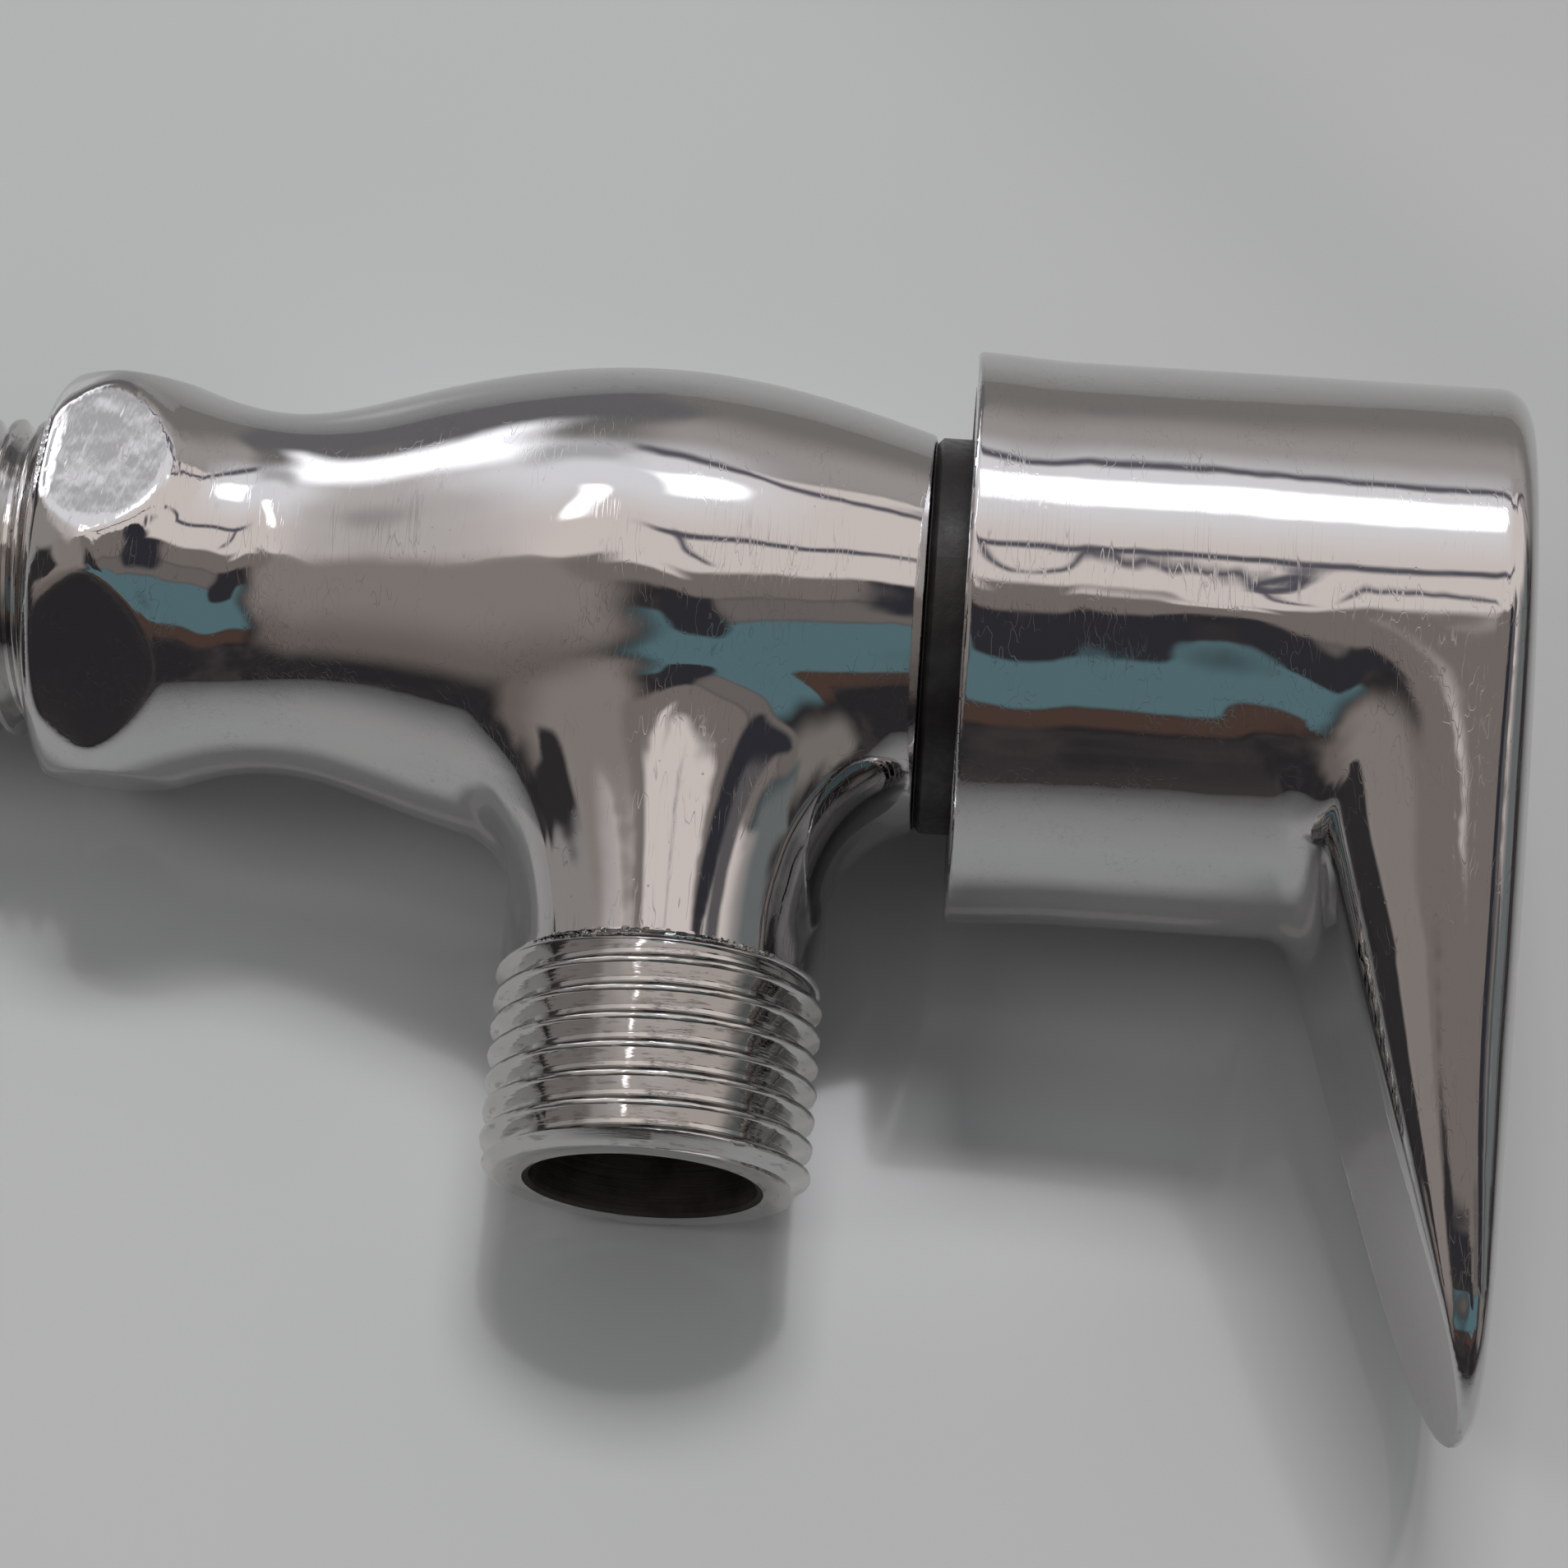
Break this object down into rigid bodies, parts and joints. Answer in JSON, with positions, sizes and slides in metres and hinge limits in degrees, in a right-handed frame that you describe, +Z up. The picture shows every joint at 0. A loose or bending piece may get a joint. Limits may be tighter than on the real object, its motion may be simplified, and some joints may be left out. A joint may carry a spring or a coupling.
{
  "type": "angle valve",
  "caption": "Chrome angle valve with a hexagonal collar, threaded inlet and outlet at right angles, and a lever handle that turns a quarter turn over ceramic discs.",
  "frame": {"origin": "on the inlet axis at the collar's back face, where the inlet thread starts", "axes": "+X along the body from the inlet to the handle, -Y the way the outlet and the open lever point, +Z up as the valve lies on its side"},
  "size_m": [0.116, 0.0704, 0.0368],
  "materials": {
    "chrome_casting": "polished, with fine scratches",
    "brass": "machined",
    "black_rubber": "matte",
    "black_collar": "satin",
    "white_plastic": "matte",
    "ceramic": "lapped",
    "steel": "plain"
  },
  "bodies": {
    "body": {"valve_body": "chrome_casting", "cartridge_housing": "brass", "housing_o_ring": "black_rubber", "collar_ring": "black_collar", "disc_seat_seal": "black_rubber", "seal_support_ring": "brass", "fixed_ceramic_disc": "ceramic", "glide_washer": "white_plastic"},
    "handle": {"handle": "chrome_casting", "set_screw": "steel", "spindle": "brass", "spindle_o_ring_inner": "black_rubber", "spindle_o_ring_outer": "black_rubber", "retaining_clip": "steel", "moving_ceramic_disc": "ceramic"}
  },
  "joints": [
    {"name": "handle_turn", "type": "hinge", "parent": "body", "child": "handle", "pos_m": [0.0597, 0, 0], "axis": [1, 0, 0], "range_deg": [-90, 0]}
  ]
}
